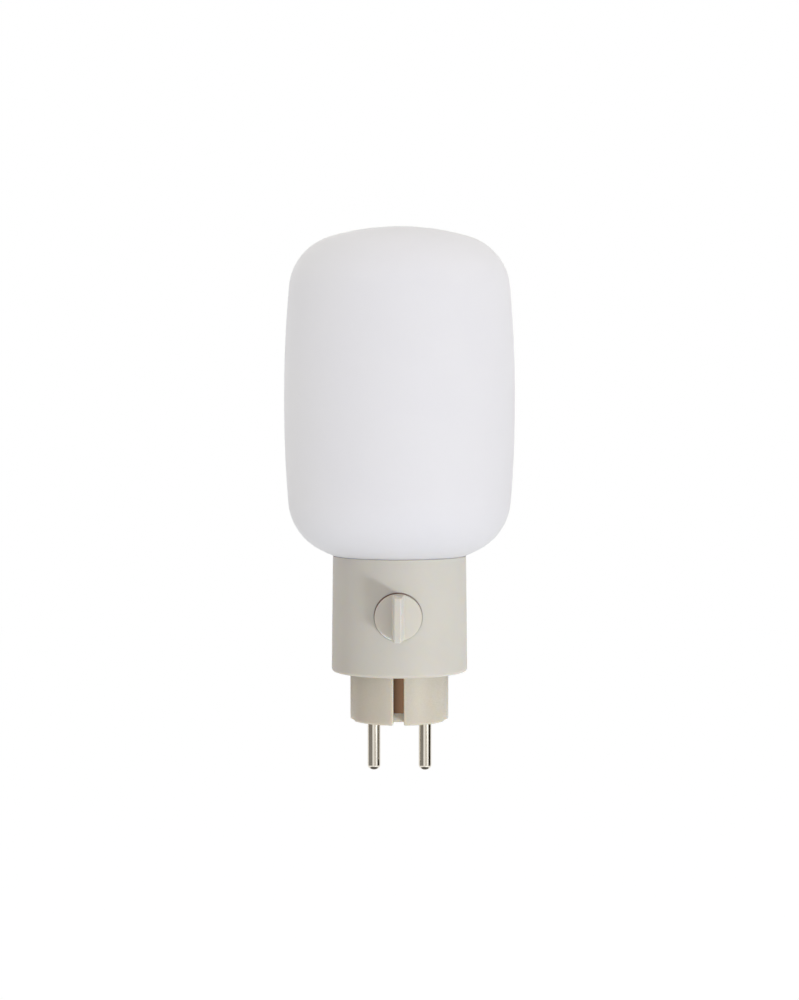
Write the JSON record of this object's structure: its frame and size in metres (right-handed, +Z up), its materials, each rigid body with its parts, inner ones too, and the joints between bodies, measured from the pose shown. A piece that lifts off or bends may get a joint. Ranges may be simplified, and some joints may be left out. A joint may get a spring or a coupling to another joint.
{
  "type": "plug-in lamp",
  "caption": "Plug-in lamp: barrel-shaped opal glass shade on a short round housing with a rotary dimmer, carried by a round mains plug with two pins.",
  "frame": {"origin": "on the plug's face, midway between the two mains pins", "axes": "+Z up through the housing to the glass shade, the pins point to -Z, the knob faces -Y"},
  "size_m": [0.0854, 0.0854, 0.2012],
  "materials": {
    "housing_plastic": "fine satin moulding",
    "plug_plastic": "smooth satin moulding",
    "pin_nickel": "turned and nickel plated",
    "earth_bronze": "bronze strip",
    "opal_glass": "satin opal glass, etched outside",
    "sleeve_silicone": "matt silicone",
    "screw_steel": "zinc plated",
    "board_laminate": "solder mask",
    "solder": "bright solder",
    "ferrite": "sintered",
    "copper_wire": "enamelled copper",
    "capacitor_case": "moulded box",
    "film_capacitor_case": "dipped epoxy",
    "component_black": "moulded epoxy",
    "fuse_body": "ceramic tube",
    "diac_glass": "painted glass",
    "resistor_body": "lacquered film",
    "pot_metal": "pressed and plated",
    "pot_phenolic": "phenolic sheet",
    "wiper_nylon": "natural nylon",
    "holder_ceramic": "unglazed steatite",
    "contact_metal": "nickel-brass strip",
    "lead_insulation": "silicone sleeving",
    "bulb_plastic": "moulded",
    "bulb_cover_frost": "frosted cover",
    "carrier_aluminium": "plain",
    "led_phosphor": "phosphor coat"
  },
  "bodies": {
    "lamp_base": {"plug_base": "plug_plastic", "live_pin": "pin_nickel", "neutral_pin": "pin_nickel", "earth_contacts": "earth_bronze", "base_housing": "housing_plastic", "assembly_screws": "screw_steel", "control_board": "board_laminate", "solder_joints": "solder", "choke_core": "ferrite", "choke_winding": "copper_wire", "filter_capacitor": "capacitor_case", "triac": "component_black", "line_fuse": "fuse_body", "diac": "diac_glass", "resistors": "resistor_body", "timing_capacitor": "film_capacitor_case", "pot_case": "pot_metal", "pot_track": "pot_phenolic", "pot_terminals": "contact_metal", "pot_washer": "screw_steel", "pot_nut": "pot_metal", "lamp_holder": "holder_ceramic", "holder_contacts": "contact_metal", "holder_clip": "screw_steel", "holder_leads": "lead_insulation"},
    "knob": {"dimmer_knob": "housing_plastic", "pot_shaft": "pot_metal", "pot_wiper": "wiper_nylon"},
    "bulb": {"bulb_base": "bulb_plastic", "bulb_pins": "pin_nickel", "bulb_cover": "bulb_cover_frost", "led_carrier": "carrier_aluminium", "led_chips": "led_phosphor"},
    "shade": {"glass_shade": "opal_glass", "neck_sleeve": "sleeve_silicone"}
  },
  "joints": [
    {"name": "knob_turn", "type": "hinge", "parent": "lamp_base", "child": "knob", "pos_m": [0, -0.0252, 0.0402], "axis": [0, 1, 0], "range_deg": [0, 270]},
    {"name": "bulb_pull", "type": "slide", "parent": "lamp_base", "child": "bulb", "axis": [0, 0, 1], "range_m": [0, 0.02]},
    {"name": "shade_lift", "type": "slide", "parent": "lamp_base", "child": "shade", "axis": [0, 0, 1], "range_m": [0, 0.09]}
  ]
}
